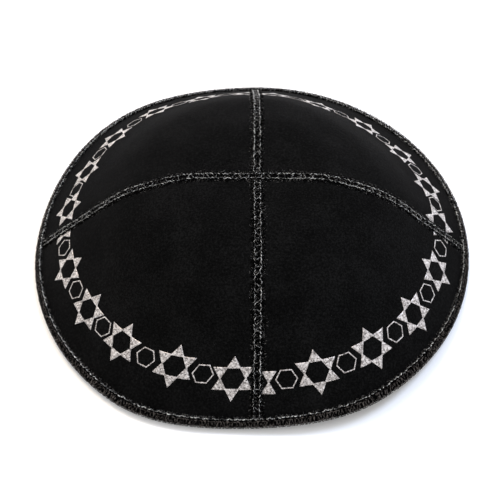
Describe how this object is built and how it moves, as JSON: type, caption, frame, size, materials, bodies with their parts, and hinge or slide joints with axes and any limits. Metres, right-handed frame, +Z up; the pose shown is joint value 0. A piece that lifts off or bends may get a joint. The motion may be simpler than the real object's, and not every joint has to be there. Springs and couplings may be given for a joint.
{
  "type": "kippah skullcap",
  "caption": "Shallow round skullcap of suede panels with braided tape over its seams and a braided binding round its rim, lying on the rim.",
  "frame": {"origin": "on the floor, under the middle of the rim's box", "axes": "+Z up through the crown, +X the wearer's right, +Y the back of the cap as laid in the picture"},
  "size_m": [0.1636, 0.1608, 0.0429],
  "materials": {
    "black_suede": "matte suede nap",
    "black_braid": "satin thread braid",
    "black_binding": "satin thread braid"
  },
  "bodies": {
    "root": {"panel_front_left": "black_suede", "panel_front_right": "black_suede", "panel_back_left": "black_suede", "panel_back_right": "black_suede", "seam_braid_cross": "black_braid", "seam_braid_front": "black_braid", "seam_braid_back": "black_braid", "rim_binding": "black_binding"}
  },
  "joints": []
}
